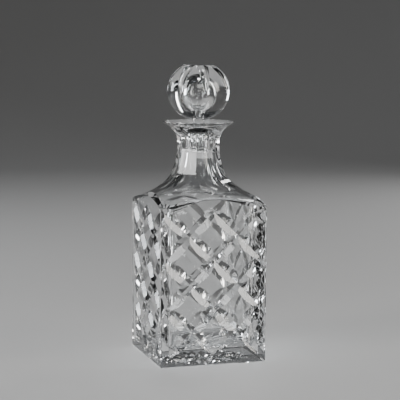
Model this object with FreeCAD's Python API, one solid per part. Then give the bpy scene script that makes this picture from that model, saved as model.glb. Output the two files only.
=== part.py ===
import FreeCAD, Part
import math
import os
from FreeCAD import Matrix, Vector

# Square cut-glass spirit decanter with a ground-in ball stopper.
# Millimetres. +Z is up. The origin is the centre of the base, on the table.
# The four faces of the body look along -Y, +X, +Y and -X, and are cut alike.

# Driving dimensions: body
body_width = 90.0           # across two opposite faces
corner_height = 129.4       # where the shoulder meets the vertical corners
corner_chamfer = 0.6        # polished edge on each vertical corner
base_chamfer = 0.8          # polished edge round the foot
wall = 8.0                  # uncut side wall
floor_thickness = 13.0      # solid glass under the hollow
hollow_corner_radius = 6.5
hollow_floor_radius = 5.0

# Driving dimensions: the sunk panel on each face
panel_depth = 0.6
panel_side_top = 126.4      # ends of the panel's two leaning sides
panel_side_bottom = 6.5
panel_top_half_width = 42.4
panel_bottom_half_width = 38.0
panel_crown = 131.0         # top edge of the panel at its centre
panel_scallop = 12.2        # bottom edge at the middle of each half
panel_bottom_centre = 8.6   # bottom edge where the two scallops meet

# Driving dimensions: the diamond lattice of leaf-shaped V cuts
lattice_bottom = 8.0
lattice_top = 126.0
diamonds_wide = 2
diamonds_high = 3
leaf_depth = 2.3            # below the floor of the panel, at the middle of a leaf
leaf_spread = 2.4           # half of a cut's width for each millimetre of its depth
leaf_middle = 10.0          # length of a leaf that is cut to the full depth
leaf_node_depth = 0.8       # below the floor of the panel, where four leaves meet

# Driving dimensions: neck and lip
lip_radius = 29.7
lip_height = 197.0
lip_edge = 0.6              # roundness of the lip's rim
lip_thickness = 1.2
neck_panels = 8             # flat panels round the neck

# Driving dimensions: ground taper between stopper and neck
taper_top_height = 189.6
taper_top_radius = 9.2
taper_per_mm = 0.08         # radius lost per millimetre down
socket_bottom_height = 173.6
peg_bottom_height = 174.8
peg_chamfer = 0.7
running_gap = 0.05

# Driving dimensions: stopper head
head_radius = 26.1
head_half_height = 24.4
head_centre_height = 222.2
shank_radius = 9.1
shank_run = 1.5             # height over which the ground peg turns into the shank
head_flutes = 8
head_flute_radius = 5.2     # hollow of each flute
head_flute_depth = 3.6      # at the crown, fading out at the equator
head_turn = -5.0            # degrees, how the stopper happens to sit
bubble_radius = 10.0        # blown hollow inside the head
bubble_drop = 1.5           # its centre below the centre of the head
bubble_bore_radius = 3.4    # where it runs down and opens through the peg

# Driving dimensions: star cut under the base
star_rays = 24
star_inner_radius = 3.0
star_widest_radius = 29.0
star_outer_radius = 39.0
star_half_width = 3.1       # of one ray, at its widest
star_depth = 1.9

# Working allowances
overrun = 1.0               # how far blanks and cutters reach past the glass
shortest_upright = 1.0      # a bar edge taller than this is one of its corners
level_within = 1e-4         # both ends of an edge this close to a height lie at it

half_body = body_width / 2


def at(radius, height):
    """A point of an outline that is turned about the Z axis."""
    return Vector(radius, 0, height)


def on_face(across, height, depth):
    """A point of the front face, sunk by a depth below its plane."""
    return Vector(across, depth - half_body, height)


# Outside of the round blank, from the corners of the shoulder up to the lip.
outer_points = [
    at(64.5, corner_height - 0.5),
    at(55.0, 132.3),
    at(45.0, 135.9),
    at(36.5, 140.4),
    at(29.0, 145.8),
    at(24.2, 151.0),
    at(21.2, 157.5),
    at(19.0, 164.5),
    at(17.8, 171.0),
    at(17.6, 178.0),
    at(18.3, 184.0),
    at(20.8, 189.2),
    at(24.8, 193.0),
    at(lip_radius - lip_edge, lip_height - 2 * lip_edge),
]

# Hollow of one neck panel. It meets the blank under the lip and on the shoulder,
# which is where the flat panel fades out.
flute_points = [
    at(44.0, 138.6),
    at(36.2, 140.9),
    at(27.6, 146.1),
    at(22.5, 151.5),
    at(19.5, 157.5),
    at(17.55, 164.5),
    at(16.45, 171.0),
    at(16.25, 178.0),
    at(16.85, 184.0),
    at(19.8, 188.8),
    at(26.0, 193.0),
]

# Dish of the mouth, from the rim of the lip down to the top of the socket.
mouth_points = [
    at(lip_radius - lip_thickness, lip_height),
    at(24.0, 195.2),
    at(18.0, 193.2),
    at(13.0, 191.6),
    at(10.4, 190.4),
    at(taper_top_radius + running_gap, taper_top_height),
]

# Inside of the neck and shoulder, from below the socket down to the square hollow.
bore_points = [
    at(9.4, 171.0),
    at(10.0, 166.0),
    at(11.6, 159.0),
    at(15.0, 152.0),
    at(21.0, 145.6),
    at(30.0, 139.4),
    at(40.0, 133.6),
    at(50.0, 128.6),
]


def spline(points):
    """A smooth edge through the given points."""
    curve = Part.BSplineCurve()
    curve.interpolate(points)
    return curve.toShape()


def chain(points):
    """Straight edges from point to point."""
    return [Part.LineSegment(a, b).toShape() for a, b in zip(points, points[1:])]


def turned(edges):
    """The solid made by turning a closed outline about the Z axis."""
    face = Part.Face(Part.Wire(edges))
    return face.revolve(Vector(0, 0, 0), Vector(0, 0, 1), 360)


def spun(shape, degrees):
    """A copy of the shape, turned about the Z axis."""
    copy = shape.copy()
    copy.rotate(Vector(0, 0, 0), Vector(0, 0, 1), degrees)
    return copy


def square_bar(half_width, bottom, top):
    """A square bar standing on the Z axis."""
    corner = Vector(-half_width, -half_width, bottom)
    return Part.makeBox(2 * half_width, 2 * half_width, top - bottom, corner)


def upright_edges(shape):
    """The long vertical edges of a bar."""
    return [edge for edge in shape.Edges if edge.BoundBox.ZLength > shortest_upright]


def edges_at(shape, height):
    """The edges that lie flat at a height."""
    found = []
    for edge in shape.Edges:
        box = edge.BoundBox
        if abs(box.ZMin - height) + abs(box.ZMax - height) < level_within:
            found.append(edge)
    return found


def hull_of(points_by_face):
    """A solid bounded by flat faces, each given by its corner points."""
    faces = [Part.Face(Part.makePolygon(corners + corners[:1])) for corners in points_by_face]
    return Part.makeSolid(Part.makeShell(faces))


def taper_radius(height):
    """Radius of the stopper's ground peg at a height."""
    return taper_top_radius - taper_per_mm * (taper_top_height - height)


def bottle_blank():
    """The uncut outside: a turned shoulder, neck and lip on a square body."""
    rim_under = outer_points[-1]
    rim_side = at(lip_radius, lip_height - lip_edge)
    rim_top = at(lip_radius - lip_edge, lip_height)
    rim = Part.Arc(rim_under, rim_side, rim_top).toShape()
    widest = outer_points[0]
    closing = [rim_top, at(0, lip_height), at(0, 0), at(widest.x, 0), widest]
    bar = square_bar(half_body, 0, lip_height + overrun)
    bar = bar.makeChamfer(corner_chamfer, upright_edges(bar))
    bar = bar.makeChamfer(base_chamfer, edges_at(bar, 0))
    return turned([spline(outer_points), rim] + chain(closing)).common(bar)


def neck_flute():
    """The glass taken away to leave one flat panel of the neck."""
    far_side = 60.0
    half_length = 45.0
    bottom = flute_points[0]
    top = flute_points[-1]
    closing = [top, at(far_side, top.z), at(far_side, bottom.z), bottom]
    face = Part.Face(Part.Wire([spline(flute_points)] + chain(closing)))
    face.translate(Vector(0, -half_length, 0))
    return face.extrude(Vector(0, 2 * half_length, 0))


def hollow():
    """The air inside: mouth, tapered socket, neck bore and square body."""
    above = lip_height + overrun
    rim = mouth_points[0]
    socket_foot = at(taper_radius(socket_bottom_height) + running_gap, socket_bottom_height)
    widest = bore_points[-1]
    edges = [spline(mouth_points)]
    edges += chain([mouth_points[-1], socket_foot, bore_points[0]])
    edges += [spline(bore_points)]
    bottom = [widest, at(widest.x, floor_thickness), at(0, floor_thickness)]
    edges += chain(bottom + [at(0, above), at(rim.x, above), rim])
    bar = square_bar(half_body - wall, floor_thickness, above)
    bar = bar.makeFillet(hollow_corner_radius, upright_edges(bar))
    bar = bar.makeFillet(hollow_floor_radius, edges_at(bar, floor_thickness))
    return turned(edges).common(bar)


def panel_outline(depth):
    """Closed wire round the sunk panel of the front face, at a depth."""
    top = panel_top_half_width - depth
    bottom = panel_bottom_half_width - depth
    low = panel_side_bottom + depth
    high = panel_side_top - depth
    top_left = on_face(-top, high, depth)
    top_right = on_face(top, high, depth)
    low_left = on_face(-bottom, low, depth)
    low_right = on_face(bottom, low, depth)
    crown = on_face(0, panel_crown - depth, depth)
    foot = on_face(0, panel_bottom_centre + depth, depth)
    left_scallop = on_face(-bottom / 2, panel_scallop + depth, depth)
    right_scallop = on_face(bottom / 2, panel_scallop + depth, depth)
    edges = [
        Part.Arc(top_left, crown, top_right).toShape(),
        Part.LineSegment(top_right, low_right).toShape(),
        Part.Arc(low_right, right_scallop, foot).toShape(),
        Part.Arc(foot, left_scallop, low_left).toShape(),
        Part.LineSegment(low_left, top_left).toShape(),
    ]
    return Part.Wire(edges)


def panel_pocket(depth):
    """Space under the front face, its walls leaning in at 45 degrees."""
    return Part.makeLoft([panel_outline(-overrun), panel_outline(depth)], True, True)


def lattice_node(column, row):
    """A crossing point of the lattice, on the floor of the front panel."""
    share = row / (2 * diamonds_high)
    height = lattice_bottom + share * (lattice_top - lattice_bottom)
    half_width = panel_bottom_half_width + share * (panel_top_half_width - panel_bottom_half_width)
    return on_face(half_width * column / diamonds_wide, height, panel_depth)


def leaf_cut(start, end):
    """One pointed V cut between two crossing points, deepest at its middle."""
    clear = 1.2
    inward = Vector(0, 1, 0)
    along = (end - start).normalize()
    middle = (start + end) / 2
    half_middle = leaf_middle / 2
    rise = (leaf_depth - leaf_node_depth) / (start.distanceToPoint(end) / 2 - half_middle)
    height = leaf_depth + panel_depth + clear
    above = middle - inward * (panel_depth + clear)
    side = along.cross(inward) * (height * leaf_spread)
    tip = along * (half_middle + height / rise)
    full = along * half_middle
    low_start = middle + inward * leaf_depth - full
    low_end = low_start + full * 2
    left_start, left_end = above - full + side, above + full + side
    right_start, right_end = above - full - side, above + full - side
    tip_start, tip_end = above - tip, above + tip
    return hull_of([
        [tip_start, low_start, left_start],
        [left_start, low_start, low_end, left_end],
        [left_end, low_end, tip_end],
        [tip_end, low_end, right_end],
        [right_end, low_end, low_start, right_start],
        [right_start, low_start, tip_start],
        [tip_start, left_start, left_end, tip_end, right_end, right_start],
    ])


def lattice_limits():
    """The space that the lattice keeps to: flat-sided, just inside the edge of the panel."""
    outside = 3.0
    inside = panel_depth + 2 * leaf_depth
    half_way = panel_top_half_width / 2
    haunch_share = 0.74     # of the arch's rise, reached half-way along it
    haunch = panel_side_top + haunch_share * (panel_crown - panel_side_top)
    outline = [
        (-panel_bottom_half_width, panel_side_bottom),
        (panel_bottom_half_width, panel_side_bottom),
        (panel_top_half_width, panel_side_top),
        (half_way, haunch),
        (0, panel_crown),
        (-half_way, haunch),
        (-panel_top_half_width, panel_side_top),
    ]
    corners = [on_face(across, height, -outside) for across, height in outline]
    face = Part.Face(Part.makePolygon(corners + corners[:1]))
    return face.extrude(Vector(0, outside + inside, 0))


def face_cuts():
    """Everything ground away from the front face: the panel and its lattice."""
    cuts = [panel_pocket(panel_depth)]
    limits = lattice_limits()
    for column in range(-diamonds_wide, diamonds_wide):
        for row in range(2 * diamonds_high):
            rising = (column + row) % 2 == 0
            first = lattice_node(column, row if rising else row + 1)
            second = lattice_node(column + 1, row + 1 if rising else row)
            cuts.append(leaf_cut(first, second).common(limits))
    return cuts


def star_ray():
    """One pointed ray of the star, cut up into the base."""
    drop = 0.5
    tip_in = Vector(star_inner_radius, 0, 0)
    tip_out = Vector(star_outer_radius, 0, 0)
    left = Vector(star_widest_radius, star_half_width, 0)
    right = Vector(star_widest_radius, -star_half_width, 0)
    ridge = Vector(star_widest_radius, 0, star_depth)
    down = Vector(0, 0, -drop)
    roof = [[tip_in, left, ridge], [left, tip_out, ridge], [tip_out, right, ridge], [right, tip_in, ridge]]
    rim = [tip_in, right, tip_out, left]
    skirt = [[a, b, b + down, a + down] for a, b in zip(rim, rim[1:] + rim[:1])]
    return hull_of(roof + skirt + [[point + down for point in rim]])


def bottle():
    """The cut glass body with its neck, in one piece."""
    shape = bottle_blank()
    shape = shape.cut([spun(neck_flute(), turn * 360 / neck_panels) for turn in range(neck_panels)])
    shape = shape.cut(hollow())
    cuts = face_cuts()
    for quarter in range(4):
        shape = shape.cut([spun(cut, quarter * 90) for cut in cuts])
    return shape.cut([spun(star_ray(), (ray + 0.5) * 360 / star_rays) for ray in range(star_rays)])


def stopper_head():
    """A flattened ball with hollow flutes that meet at the crown."""
    ball = Part.makeSphere(head_radius)
    flutes = []
    for turn in range(head_flutes // 2):
        ring = Part.makeTorus(
            head_radius + head_flute_radius,
            head_flute_radius,
            Vector(0, 0, -head_flute_depth),
            Vector(0, 1, 0),
        )
        flutes.append(spun(ring, turn * 360 / head_flutes + head_turn))
    squash = Matrix()
    squash.scale(1, 1, head_half_height / head_radius)
    squash.move(Vector(0, 0, head_centre_height))
    return ball.cut(flutes).transformGeometry(squash)


def stopper_peg():
    """The shank and the ground peg that fits the neck."""
    inside_head = head_centre_height - head_half_height / 2
    foot_radius = taper_radius(peg_bottom_height)
    outline = [
        at(0, peg_bottom_height),
        at(foot_radius - peg_chamfer, peg_bottom_height),
        at(foot_radius, peg_bottom_height + peg_chamfer),
        at(taper_top_radius, taper_top_height),
        at(shank_radius, taper_top_height + shank_run),
        at(shank_radius, inside_head),
        at(0, inside_head),
        at(0, peg_bottom_height),
    ]
    return turned(chain(outline))


def stopper_bubble():
    """The blown hollow of the stopper, a ball on a bore that is open below."""
    centre = head_centre_height - bubble_drop
    half_turn = (math.pi / 2 - math.acos(bubble_bore_radius / bubble_radius)) / 2
    ball_foot = centre - math.sqrt(bubble_radius ** 2 - bubble_bore_radius ** 2)
    crown = at(0, centre + bubble_radius)
    side = at(bubble_radius * math.cos(half_turn), centre + bubble_radius * math.sin(half_turn))
    neck = at(bubble_bore_radius, ball_foot)
    edges = [Part.Arc(crown, side, neck).toShape()]
    bottom = peg_bottom_height - overrun
    edges += chain([neck, at(bubble_bore_radius, bottom), at(0, bottom), crown])
    return turned(edges)


def stopper():
    """The whole stopper, in one piece of glass."""
    return stopper_head().fuse(stopper_peg()).cut(stopper_bubble())


def only_solid(shape):
    """The single solid that a sub-part is made of."""
    solids = shape.removeSplitter().Solids
    if len(solids) != 1:
        raise ValueError("expected one solid, found " + str(len(solids)))
    return solids[0]


def write(name, shape):
    """Write one sub-part to its STEP file."""
    only_solid(shape).exportStep("parts/" + name + ".step")


os.makedirs("parts", exist_ok=True)
write("bottle", bottle())
write("stopper", stopper())
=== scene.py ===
import bmesh
import bpy
import math
import numpy as np
from mathutils import Matrix, Vector


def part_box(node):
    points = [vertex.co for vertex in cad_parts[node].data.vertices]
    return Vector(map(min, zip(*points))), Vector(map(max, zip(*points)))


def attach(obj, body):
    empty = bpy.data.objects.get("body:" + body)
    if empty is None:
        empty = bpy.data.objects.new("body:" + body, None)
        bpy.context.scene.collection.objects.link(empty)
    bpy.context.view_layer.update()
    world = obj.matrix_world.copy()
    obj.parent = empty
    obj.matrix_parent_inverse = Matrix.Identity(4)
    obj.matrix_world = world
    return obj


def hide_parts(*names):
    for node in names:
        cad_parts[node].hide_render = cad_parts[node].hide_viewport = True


# A square cut-glass decanter and its ball stopper on a pale floor.
# Shapes are worked out in millimetres and turned into metres at the end.
# Outlines that are turned about the Z axis hold (radius, height) points.

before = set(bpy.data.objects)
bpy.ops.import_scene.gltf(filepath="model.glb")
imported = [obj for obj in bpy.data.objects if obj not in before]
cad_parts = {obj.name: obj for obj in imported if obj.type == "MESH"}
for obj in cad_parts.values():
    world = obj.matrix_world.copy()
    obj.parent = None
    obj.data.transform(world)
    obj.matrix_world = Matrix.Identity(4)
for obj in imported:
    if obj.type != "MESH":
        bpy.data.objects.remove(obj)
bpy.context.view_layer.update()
mm = 0.001

# Sizes taken from the frame
bottle_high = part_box("bottle")[1]
stopper_low, stopper_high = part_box("stopper")
half_body = bottle_high.x / mm
lip_height = bottle_high.z / mm
head_radius = stopper_high.x / mm
peg_bottom_height = stopper_low.z / mm

# Body
corner_height = 129.4
corner_chamfer = 0.6
base_chamfer = 0.8
wall = 8.0                  # uncut side wall
floor_thickness = 13.0
hollow_corner_radius = 6.5
hollow_floor_radius = 5.0

# Sunk panel on each face
panel_depth = 0.6
panel_side_top = 126.4      # ends of the panel's two leaning sides
panel_side_bottom = 6.5
panel_top_half_width = 42.4
panel_bottom_half_width = 38.0
panel_crown = 131.0         # top edge of the panel at its centre
panel_scallop = 12.2        # bottom edge at the middle of each half
panel_bottom_centre = 8.6   # bottom edge where the two scallops meet

# Lattice of leaf-shaped V cuts
lattice_bottom = 8.0
lattice_top = 126.0
diamonds_wide = 2
diamonds_high = 3
leaf_depth = 2.3            # below the floor of the panel, at the middle of a leaf
leaf_spread = 2.4           # half of a cut's width for each millimetre of its depth
wheel_radius = 72.0         # of the cutting wheel, which sets the length of a leaf
lattice_inset = 0.05        # how far the leaves stay inside the edge of the panel

# Neck, lip and socket
lip_radius = 29.7
lip_edge = 0.6
lip_thickness = 1.2
neck_panels = 8
taper_top_height = 189.6
taper_top_radius = 9.2
taper_per_mm = 0.08         # radius lost per millimetre down
socket_bottom_height = 173.6
peg_chamfer = 0.7
running_gap = 0.05
ground_within = 0.3         # a face this close to the taper is part of the ground joint

# Stopper head
head_half_height = 24.4
head_centre_height = 222.2
shank_radius = 9.1
shank_run = 1.5             # height over which the ground peg turns into the shank
head_flutes = 8
head_flute_radius = 5.2
head_flute_depth = 3.6      # at the crown, fading out at the equator
head_turn = -5.0            # degrees, how the stopper happens to sit
cavity_radius = 10.0        # blown hollow inside the head
cavity_drop = 1.5           # its centre below the centre of the head
cavity_bore_radius = 3.4

# Star under the base
star_rays = 24
star_inner_radius = 3.0
star_widest_radius = 29.0
star_outer_radius = 39.0
star_half_width = 3.1       # of one ray, at its widest
star_depth = 1.9

# How finely curves are divided
round_steps = 192           # round a turned shape
line_step = 0.9             # millimetres along a turned outline
flute_step = 0.6            # millimetres along a neck panel
leaf_steps = 20
rim_steps = 8
corner_steps = 10
fillet_steps = 12
arch_steps = 48
scallop_steps = 24
bubble_steps = 48
ball_steps = 96
ring_steps = 256
ring_around = 96

# Working allowances
clear = 1.2                 # how far a cutting shape stands out of the glass, in millimetres
on_axis = 1e-6              # a radius under this is a point on the Z axis
weld_mm = 1e-5              # points of a new solid this close are one point
weld_m = 2e-6               # the same in metres, for a finished piece
sharp_angle = 14            # degrees between faces, from which an edge stays crisp

outer_points = [
    (64.5, corner_height - 0.5),
    (55.0, 132.3),
    (45.0, 135.9),
    (36.5, 140.4),
    (29.0, 145.8),
    (24.2, 151.0),
    (21.2, 157.5),
    (19.0, 164.5),
    (17.8, 171.0),
    (17.6, 178.0),
    (18.3, 184.0),
    (20.8, 189.2),
    (24.8, 193.0),
    (lip_radius - lip_edge, lip_height - 2 * lip_edge),
]
flute_points = [
    (44.0, 138.6),
    (36.2, 140.9),
    (27.6, 146.1),
    (22.5, 151.5),
    (19.5, 157.5),
    (17.55, 164.5),
    (16.45, 171.0),
    (16.25, 178.0),
    (16.85, 184.0),
    (19.8, 188.8),
    (26.0, 193.0),
]
mouth_points = [
    (lip_radius - lip_thickness, lip_height),
    (24.0, 195.2),
    (18.0, 193.2),
    (13.0, 191.6),
    (10.4, 190.4),
    (taper_top_radius + running_gap, taper_top_height),
]
bore_points = [
    (9.4, 171.0),
    (10.0, 166.0),
    (11.6, 159.0),
    (15.0, 152.0),
    (21.0, 145.6),
    (30.0, 139.4),
    (40.0, 133.6),
    (50.0, 128.6),
]


def smooth_line(points, step=line_step):
    """Points along the natural cubic curve through the given points."""
    knots = np.array(points, float)
    gaps = np.linalg.norm(np.diff(knots, axis=0), axis=1)
    along = np.concatenate([[0], np.cumsum(gaps)])
    count = len(knots)
    system = np.eye(count)
    bends = np.zeros((count, 2))
    slopes = np.diff(knots, axis=0) / gaps[:, None]
    for i in range(1, count - 1):
        system[i, i - 1:i + 2] = gaps[i - 1], 2 * (gaps[i - 1] + gaps[i]), gaps[i]
        bends[i] = 6 * (slopes[i] - slopes[i - 1])
    second = np.linalg.solve(system, bends)
    line = []
    for s in np.linspace(0, along[-1], max(2, round(along[-1] / step) + 1)):
        i = min(int(np.searchsorted(along, s, "right")) - 1, count - 2)
        before, after, gap = s - along[i], along[i + 1] - s, gaps[i]
        place = (second[i] * after ** 3 + second[i + 1] * before ** 3) / (6 * gap)
        place += (knots[i] / gap - second[i] * gap / 6) * after
        place += (knots[i + 1] / gap - second[i + 1] * gap / 6) * before
        line.append((float(place[0]), float(place[1])))
    return line


def solid(name, points, faces):
    """A closed mesh object with its faces turned outward."""
    mesh = bpy.data.meshes.new(name)
    mesh.from_pydata([tuple(p) for p in points], [], faces)
    work = bmesh.new()
    work.from_mesh(mesh)
    bmesh.ops.remove_doubles(work, verts=work.verts, dist=weld_mm)
    bmesh.ops.recalc_face_normals(work, faces=work.faces)
    work.to_mesh(mesh)
    work.free()
    shape = bpy.data.objects.new(name, mesh)
    bpy.context.scene.collection.objects.link(shape)
    return shape


def turned(name, outline):
    """The solid made by turning a closed outline about the Z axis."""
    points, rings = [], []
    for radius, height in outline:
        if radius < on_axis:
            rings.append([len(points)] * round_steps)
            points.append((0, 0, height))
            continue
        rings.append(list(range(len(points), len(points) + round_steps)))
        for step in range(round_steps):
            angle = 2 * math.pi * step / round_steps
            points.append((radius * math.cos(angle), radius * math.sin(angle), height))
    faces = []
    for low, high in zip(rings, rings[1:] + rings[:1]):
        if low[0] == low[1] and high[0] == high[1]:
            continue
        for a in range(round_steps):
            b = (a + 1) % round_steps
            corners = [low[a], low[b], high[b], high[a]]
            faces.append(tuple(dict.fromkeys(corners)))
    return solid(name, points, faces)


def stacked(name, loops):
    """The solid through a stack of closed loops, with flat ends."""
    count = len(loops[0])
    points = [point for loop in loops for point in loop]
    faces = [tuple(range(count)), tuple(range(len(points) - count, len(points)))]
    for level in range(len(loops) - 1):
        for a in range(count):
            b = (a + 1) % count
            low, high = level * count, (level + 1) * count
            faces.append((low + a, low + b, high + b, high + a))
    return solid(name, points, faces)


def joined(name, shapes):
    """One object made of separate pieces that don't touch."""
    work = bmesh.new()
    for shape in shapes:
        work.from_mesh(shape.data)
        bpy.data.objects.remove(shape)
    mesh = bpy.data.meshes.new(name)
    work.to_mesh(mesh)
    work.free()
    whole = bpy.data.objects.new(name, mesh)
    bpy.context.scene.collection.objects.link(whole)
    return whole


def copies(shape, angles):
    """Copies of a shape, turned about the Z axis, as one object."""
    work = bmesh.new()
    for angle in angles:
        mesh = shape.data.copy()
        mesh.transform(Matrix.Rotation(math.radians(angle), 4, "Z"))
        work.from_mesh(mesh)
    mesh = bpy.data.meshes.new(shape.name)
    work.to_mesh(mesh)
    work.free()
    whole = bpy.data.objects.new(shape.name, mesh)
    bpy.context.scene.collection.objects.link(whole)
    bpy.data.objects.remove(shape)
    return whole


def combine(shape, operation, others):
    """Cuts, joins or crosses a shape with others, and takes the others away."""
    for other in others:
        step = shape.modifiers.new(other.name, "BOOLEAN")
        step.operation = operation
        step.solver = "MANIFOLD"
        step.object = other
    graph = bpy.context.evaluated_depsgraph_get()
    mesh = bpy.data.meshes.new_from_object(shape.evaluated_get(graph))
    shape.modifiers.clear()
    shape.data = mesh
    for other in others:
        bpy.data.objects.remove(other)
    return shape


def rounded_square(half, radius, height):
    """A square loop with rounded corners."""
    loop = []
    for quarter in range(4):
        for step in range(corner_steps + 1):
            angle = math.radians(90 * (quarter + step / corner_steps))
            turn = math.radians(90 * quarter + 45)
            centre = (half - radius) * math.sqrt(2)
            x = centre * math.cos(turn) + radius * math.cos(angle)
            y = centre * math.sin(turn) + radius * math.sin(angle)
            loop.append((x, y, height))
    return loop


def chamfered_square(half, chamfer, height):
    """A square loop with its corners cut off."""
    inner = half - chamfer
    corners = [(half, -inner), (half, inner), (inner, half), (-inner, half)]
    corners += [(-half, inner), (-half, -inner), (-inner, -half), (inner, -half)]
    return [(x, y, height) for x, y in corners]


def bottle_blank():
    """The uncut outside: a turned shoulder, neck and lip on a square body."""
    rim = []
    for step in range(1, rim_steps):
        angle = math.pi * (step / rim_steps - 0.5)
        x = lip_radius - lip_edge + lip_edge * math.cos(angle)
        rim.append((x, lip_height - lip_edge + lip_edge * math.sin(angle)))
    outline = smooth_line(outer_points) + rim + [(lip_radius - lip_edge, lip_height), (0, lip_height)]
    outline += [(0, -clear), (outer_points[0][0], -clear)]
    bar = stacked("bar", [
        chamfered_square(half_body - base_chamfer, corner_chamfer, 0),
        chamfered_square(half_body, corner_chamfer, base_chamfer),
        chamfered_square(half_body, corner_chamfer, lip_height + clear),
    ])
    return combine(turned("bottle_glass", outline), "INTERSECT", [bar])


def neck_flute():
    """The glass taken away to leave one flat panel of the neck."""
    far_side = 46.0
    half_length = 20.0
    line = smooth_line(flute_points, flute_step)
    line += [(far_side, line[-1][1]), (far_side, line[0][1])]
    loops = [[(x, side, z) for x, z in line] for side in (-half_length, half_length)]
    return stacked("flute", loops)


def taper_radius(height):
    """Radius of the stopper's ground peg at a height."""
    return taper_top_radius - taper_per_mm * (taper_top_height - height)


def hollow():
    """The air inside: mouth, tapered socket, neck bore and square body."""
    above = lip_height + clear
    outline = smooth_line(mouth_points)
    outline += [(taper_radius(socket_bottom_height) + running_gap, socket_bottom_height)]
    outline += smooth_line(bore_points)
    outline += [(bore_points[-1][0], floor_thickness - clear), (0, floor_thickness - clear)]
    outline += [(0, above), (mouth_points[0][0], above)]
    loops = []
    half = half_body - wall
    for step in range(fillet_steps + 1):
        angle = math.radians(90 * step / fillet_steps)
        inset = hollow_floor_radius * (1 - math.sin(angle))
        rise = hollow_floor_radius * (1 - math.cos(angle))
        loops.append(rounded_square(half - inset, hollow_corner_radius - inset, floor_thickness + rise))
    loops.append(rounded_square(half, hollow_corner_radius, above))
    return combine(turned("hollow", outline), "INTERSECT", [stacked("hollow_bar", loops)])


def arc_points(start, through, end, steps):
    """Points on the circle through three points, from start up to, but not including, end."""
    a, b, c = (Vector(p) for p in (start, through, end))
    twice_cross = 2 * (b - a).cross(c - a)
    across = (b - a).length_squared * Vector((-(c - a).y, (c - a).x))
    across += (c - a).length_squared * Vector(((b - a).y, -(b - a).x))
    centre = a + across / twice_cross
    first = math.atan2(a.y - centre.y, a.x - centre.x)
    sweep = math.atan2(c.y - centre.y, c.x - centre.x) - first
    middle = math.atan2(b.y - centre.y, b.x - centre.x) - first
    if (sweep % (2 * math.pi)) > (middle % (2 * math.pi)):
        sweep %= 2 * math.pi
    else:
        sweep = sweep % (2 * math.pi) - 2 * math.pi
    radius = (a - centre).length
    line = []
    for step in range(steps):
        angle = first + sweep * step / steps
        line.append((centre.x + radius * math.cos(angle), centre.y + radius * math.sin(angle)))
    return line


def panel_loop(depth, inset):
    """Outline of the sunk panel of the front face at a depth, drawn in by an inset."""
    top = panel_top_half_width - inset
    bottom = panel_bottom_half_width - inset
    low = panel_side_bottom + inset
    high = panel_side_top - inset
    scallop = panel_scallop + inset
    foot = (0, panel_bottom_centre + inset)
    line = arc_points((-top, high), (0, panel_crown - inset), (top, high), arch_steps)
    line += [(top, high)]
    line += arc_points((bottom, low), (bottom / 2, scallop), foot, scallop_steps)
    line += arc_points(foot, (-bottom / 2, scallop), (-bottom, low), scallop_steps)
    line += [(-bottom, low)]
    return [(x, depth - half_body, z) for x, z in line]


def lattice_node(column, row):
    """A crossing point of the lattice, on the floor of the front panel."""
    share = row / (2 * diamonds_high)
    height = lattice_bottom + share * (lattice_top - lattice_bottom)
    half_width = panel_bottom_half_width + share * (panel_top_half_width - panel_bottom_half_width)
    return Vector((half_width * column / diamonds_wide, panel_depth - half_body, height))


def leaf_cut(start, end):
    """One pointed V cut between two crossing points, as a sharp-edged wheel makes it."""
    inward = Vector((0, 1, 0))
    along = (end - start).normalized()
    across = along.cross(inward)
    middle = (start + end) / 2
    lift = panel_depth + clear
    axle = wheel_radius - leaf_depth
    reach = math.sqrt(wheel_radius ** 2 - (axle - lift) ** 2)
    points = [middle - along * reach - inward * lift]
    for step in range(1, leaf_steps):
        s = reach * (2 * step / leaf_steps - 1)
        depth = math.sqrt(wheel_radius ** 2 - s ** 2) - axle
        top = middle + along * s - inward * lift
        side = across * (leaf_spread * (depth + lift))
        points += [top + inward * (depth + lift), top + side, top - side]
    points.append(middle + along * reach - inward * lift)
    last = len(points) - 1
    faces = [(0, 1, 2), (0, 2, 3), (0, 3, 1)]
    for step in range(leaf_steps - 2):
        a = 1 + 3 * step
        for i, j in ((0, 1), (1, 2), (2, 0)):
            faces.append((a + i, a + j, a + 3 + j, a + 3 + i))
    faces += [(last, last - 2, last - 3), (last, last - 1, last - 2), (last, last - 3, last - 1)]
    return solid("leaf", points, faces)


def leaf_groups():
    """The leaves of all four faces, in groups whose leaves don't touch."""
    groups = {}
    for column in range(-diamonds_wide, diamonds_wide):
        for row in range(2 * diamonds_high):
            rising = (column + row) % 2 == 0
            first = lattice_node(column, row if rising else row + 1)
            second = lattice_node(column + 1, row + 1 if rising else row)
            groups.setdefault((column % 2, row % 2), []).append(leaf_cut(first, second))
    across, along = [0, 180], [90, 270]
    cutters = []
    for leaves in groups.values():
        outside = panel_loop(-2 * clear, lattice_inset)
        limits = stacked("limits", [outside, panel_loop(2 * leaf_depth, lattice_inset)])
        face = combine(joined("leaves", leaves), "INTERSECT", [limits])
        other = face.copy()
        other.data = face.data.copy()
        bpy.context.scene.collection.objects.link(other)
        cutters += [copies(face, across), copies(other, along)]
    return cutters


def star_ray():
    """One pointed ray of the star, cut up into the base."""
    drop = Vector((0, 0, -clear))
    rim = [Vector((star_inner_radius, 0, 0)), Vector((star_widest_radius, -star_half_width, 0))]
    rim += [Vector((star_outer_radius, 0, 0)), Vector((star_widest_radius, star_half_width, 0))]
    ridge = Vector((star_widest_radius, 0, star_depth))
    points = rim + [point + drop for point in rim] + [ridge]
    faces = [(a, (a + 1) % 4, 8) for a in range(4)]
    faces += [(a, (a + 1) % 4, (a + 1) % 4 + 4, a + 4) for a in range(4)]
    return solid("ray", points, faces + [(4, 5, 6, 7)])


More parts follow.
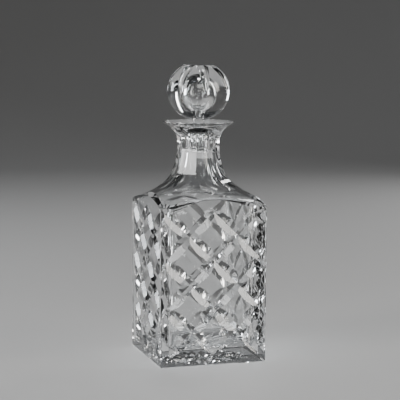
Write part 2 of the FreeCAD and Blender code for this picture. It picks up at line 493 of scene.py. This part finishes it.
def bottle():
    """The cut glass body with its neck, in one piece."""
    shape = bottle_blank()
    opposite = 180
    for turn in range(neck_panels // 2):
        angle = turn * 360 / neck_panels
        combine(shape, "DIFFERENCE", [copies(neck_flute(), [angle, angle + opposite])])
    combine(shape, "DIFFERENCE", [hollow()])
    pocket = stacked("pocket", [panel_loop(-clear, -clear), panel_loop(panel_depth, panel_depth)])
    combine(shape, "DIFFERENCE", [copies(pocket, [0, 90, 180, 270])])
    combine(shape, "DIFFERENCE", leaf_groups())
    angles = [(ray + 0.5) * 360 / star_rays for ray in range(star_rays)]
    combine(shape, "DIFFERENCE", [copies(star_ray(), angles)])
    return shape


def ring(major, minor, lift):
    """A ring round the Y axis, its centre raised by lift."""
    loops = []
    for step in range(ring_steps):
        turn = 2 * math.pi * step / ring_steps
        loop = []
        for part in range(ring_around):
            angle = 2 * math.pi * part / ring_around
            radius = major + minor * math.cos(angle)
            loop.append((radius * math.cos(turn), minor * math.sin(angle), lift + radius * math.sin(turn)))
        loops.append(loop)
    points = [point for loop in loops for point in loop]
    faces = []
    for step in range(ring_steps):
        for part in range(ring_around):
            a, b = step * ring_around, ((step + 1) % ring_steps) * ring_around
            c = (part + 1) % ring_around
            faces.append((a + part, a + c, b + c, b + part))
    return solid("ring", points, faces)


def stopper_cavity():
    """The blown hollow of the stopper: a bubble that opens through the peg."""
    centre = head_centre_height - cavity_drop
    shoulder_angle = math.acos(cavity_bore_radius / cavity_radius)
    outline = []
    for step in range(bubble_steps + 1):
        angle = math.pi / 2 - (math.pi / 2 + shoulder_angle) * step / bubble_steps
        outline.append((cavity_radius * math.cos(angle), centre + cavity_radius * math.sin(angle)))
    outline[0] = (0, centre + cavity_radius)
    outline += [(cavity_bore_radius, peg_bottom_height - clear), (0, peg_bottom_height - clear)]
    return turned("cavity", outline)


def stopper():
    """The whole stopper: a flattened, fluted ball on its ground peg, hollow inside."""
    outline = []
    for step in range(ball_steps + 1):
        angle = math.pi * (step / ball_steps - 0.5)
        outline.append((head_radius * max(0.0, math.cos(angle)), head_radius * math.sin(angle)))
    outline[0] = (0, -head_radius)
    outline[-1] = (0, head_radius)
    head = turned("stopper_glass", outline)
    for turn in range(head_flutes // 2):
        cutter = ring(head_radius + head_flute_radius, head_flute_radius, -head_flute_depth)
        combine(head, "DIFFERENCE", [copies(cutter, [turn * 360 / head_flutes + head_turn])])
    squash = Matrix.Diagonal((1, 1, head_half_height / head_radius, 1))
    head.data.transform(Matrix.Translation((0, 0, head_centre_height)) @ squash)
    inside_head = head_centre_height - head_half_height / 2
    foot_radius = taper_radius(peg_bottom_height)
    peg = turned("peg", [
        (0, peg_bottom_height),
        (foot_radius - peg_chamfer, peg_bottom_height),
        (foot_radius, peg_bottom_height + peg_chamfer),
        (taper_top_radius, taper_top_height),
        (shank_radius, taper_top_height + shank_run),
        (shank_radius, inside_head),
        (0, inside_head),
    ])
    combine(head, "UNION", [peg])
    return combine(head, "DIFFERENCE", [stopper_cavity()])


def is_ground(face):
    """Whether a face belongs to the ground taper of the socket or the peg."""
    centre = face.calc_center_median()
    radius = math.hypot(centre.x, centre.y)
    within = socket_bottom_height < centre.z < taper_top_height
    return within and abs(radius - taper_radius(centre.z)) < ground_within


def finish_glass(shape, polished, ground, body, *nodes):
    """Metres, smooth shading with crisp cuts, material, and its place on the frame."""
    mesh = shape.data
    work = bmesh.new()
    work.from_mesh(mesh)
    for face in work.faces:
        face.material_index = int(is_ground(face))
    work.to_mesh(mesh)
    work.free()
    mesh.transform(Matrix.Scale(mm, 4))
    work = bmesh.new()
    work.from_mesh(mesh)
    bmesh.ops.remove_doubles(work, verts=work.verts, dist=weld_m)
    work.to_mesh(mesh)
    work.free()
    mesh.shade_smooth()
    mesh.set_sharp_from_angle(angle=math.radians(sharp_angle))
    weight = shape.modifiers.new("normals", "WEIGHTED_NORMAL")
    weight.keep_sharp = True
    mesh.materials.clear()
    mesh.materials.append(polished)
    mesh.materials.append(ground)
    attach(shape, body)
    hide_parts(*nodes)


# Camera, fitted to the photograph's view of the body's corners, the rim and the ball
camera_azimuth = -17.8      # degrees, to the left of the front face
camera_pitch = 6.6          # degrees, looking down
camera_roll = 0.34          # degrees
camera_distance = 1.109     # metres from the point it looks at
camera_focal = 119.1        # millimetres
camera_sensor = 36          # millimetres
camera_target_height = 0.1309
camera_target_right = 0.0017


def camera_axes():
    """Level right, then right, up and back of the camera, in the row frame."""
    azimuth = math.radians(camera_azimuth)
    pitch = math.radians(camera_pitch)
    roll = math.radians(camera_roll)
    level = Vector((math.sin(azimuth), -math.cos(azimuth), 0))
    back = level * math.cos(pitch) + Vector((0, 0, math.sin(pitch)))
    level_right = Vector((0, 0, 1)).cross(back).normalized()
    level_up = back.cross(level_right)
    right = level_right * math.cos(roll) + level_up * math.sin(roll)
    return level_right, right, back.cross(right), back


def add_camera():
    """The camera at the photograph's viewing angle."""
    level_right, right, up, back = camera_axes()
    target = Vector((0, 0, camera_target_height)) + level_right * camera_target_right
    data = bpy.data.cameras.new("camera")
    data.lens = camera_focal
    data.sensor_width = camera_sensor
    camera = bpy.data.objects.new("camera", data)
    turn = Matrix((right, up, back)).transposed().to_4x4()
    camera.matrix_world = Matrix.Translation(target + back * camera_distance) @ turn
    bpy.context.scene.collection.objects.link(camera)
    bpy.context.scene.camera = camera


# Studio: a round pale floor that turns up into a wall all the way round
floor_radius = 1.7
floor_curve = 1.8
wall_top = 2.6
floor_steps = 96
curve_steps = 24
floor_colour = (0.42, 0.42, 0.42, 1)
floor_roughness = 0.7


def add_floor():
    """The pale floor and its wall, which aren't part of the object."""
    outline = [(floor_radius, 0.0)]
    for step in range(1, curve_steps + 1):
        angle = math.radians(90 * step / curve_steps)
        radius = floor_radius + floor_curve * math.sin(angle)
        outline.append((radius, floor_curve * (1 - math.cos(angle))))
    outline.append((floor_radius + floor_curve, wall_top))
    points, faces = [(0, 0, 0)], []
    for level, (radius, height) in enumerate(outline):
        low, high = 1 + (level - 1) * floor_steps, 1 + level * floor_steps
        for step in range(floor_steps):
            angle = 2 * math.pi * step / floor_steps
            points.append((radius * math.cos(angle), radius * math.sin(angle), height))
            after = (step + 1) % floor_steps
            if level == 0:
                faces.append((0, 1 + step, 1 + after))
            else:
                faces.append((low + step, high + step, high + after, low + after))
    mesh = bpy.data.meshes.new("floor")
    mesh.from_pydata(points, [], faces)
    mesh.shade_smooth()
    floor = bpy.data.objects.new("floor", mesh)
    bpy.context.scene.collection.objects.link(floor)
    material = bpy.data.materials.new("pale_floor")
    material.use_nodes = True
    shader = material.node_tree.nodes["Principled BSDF"]
    shader.inputs["Base Color"].default_value = floor_colour
    shader.inputs["Roughness"].default_value = floor_roughness
    mesh.materials.append(material)


# Light colours, and the dim light from all around
white = (1, 1, 1)
warm = (1, 0.96, 0.9)
cool = (0.92, 0.96, 1)
sky_colour = (0.9, 0.95, 1.0, 1)
sky_strength = 0.03

# Glass
glass_ior = 1.545           # of lead crystal
polished_colour = (0.985, 0.992, 0.995, 1)
polished_roughness = 0.0
ground_colour = (0.96, 0.97, 0.98, 1)
ground_roughness = 0.3
shadow_colour = (0.84, 0.85, 0.86, 1)
transmission_bounces = 24
most_bounces = 32


def add_area(name, place, aim, width, height, power, colour):
    """A soft rectangular light; sizes in metres, power in watts."""
    data = bpy.data.lights.new(name, "AREA")
    data.shape = "RECTANGLE"
    data.size = width
    data.size_y = height
    data.energy = power
    data.color = colour
    light = bpy.data.objects.new(name, data)
    direction = Vector(aim) - Vector(place)
    turn = direction.to_track_quat("-Z", "Y").to_matrix().to_4x4()
    light.matrix_world = Matrix.Translation(place) @ turn
    bpy.context.scene.collection.objects.link(light)


def add_world():
    """Faint even light from all around."""
    world = bpy.data.worlds.new("studio")
    bpy.context.scene.world = world
    world.use_nodes = True
    background = world.node_tree.nodes["Background"]
    background.inputs["Color"].default_value = sky_colour
    background.inputs["Strength"].default_value = sky_strength


def glass(name, colour, roughness):
    """Glass that throws a light shadow."""
    material = bpy.data.materials.new(name)
    material.use_nodes = True
    nodes, links = material.node_tree.nodes, material.node_tree.links
    shader = nodes["Principled BSDF"]
    shader.inputs["Base Color"].default_value = colour
    shader.inputs["Transmission Weight"].default_value = 1
    shader.inputs["IOR"].default_value = glass_ior
    shader.inputs["Roughness"].default_value = roughness
    clear_shadow = nodes.new("ShaderNodeBsdfTransparent")
    clear_shadow.inputs["Color"].default_value = shadow_colour
    path = nodes.new("ShaderNodeLightPath")
    mix = nodes.new("ShaderNodeMixShader")
    links.new(path.outputs["Is Shadow Ray"], mix.inputs["Fac"])
    links.new(shader.outputs["BSDF"], mix.inputs[1])
    links.new(clear_shadow.outputs["BSDF"], mix.inputs[2])
    links.new(mix.outputs["Shader"], nodes["Material Output"].inputs["Surface"])
    return material


polished = glass("crystal", polished_colour, polished_roughness)
ground = glass("ground_crystal", ground_colour, ground_roughness)
finish_glass(bottle(), polished, ground, "bottle", "bottle")
finish_glass(stopper(), polished, ground, "stopper", "stopper")
add_camera()
add_floor()
add_world()
add_area("key", (1.05, -0.80, 0.56), (0, 0, 0.10), 0.5, 0.75, 10, warm)
add_area("front_top", (-0.35, -1.31, 0.75), (0, 0, 0.12), 0.45, 0.4, 4, white)
add_area("fill", (0.45, -1.40, 0.35), (0, 0, 0.14), 0.35, 0.4, 3, white)
add_area("softbox", (-1.15, -0.37, 0.62), (0, 0, 0.15), 0.35, 1.1, 16, white)
add_area("back_left", (-1.12, 0.96, 0.40), (0, 0, 0.10), 0.4, 0.5, 9, cool)
add_area("back_right", (1.15, 0.90, 0.70), (0, 0, 0.12), 0.12, 1.0, 6, white)
add_area("top", (0.20, 0.50, 1.50), (0, 0, 0.10), 0.3, 0.3, 5, white)
bpy.context.scene.cycles.transmission_bounces = transmission_bounces
bpy.context.scene.cycles.max_bounces = most_bounces
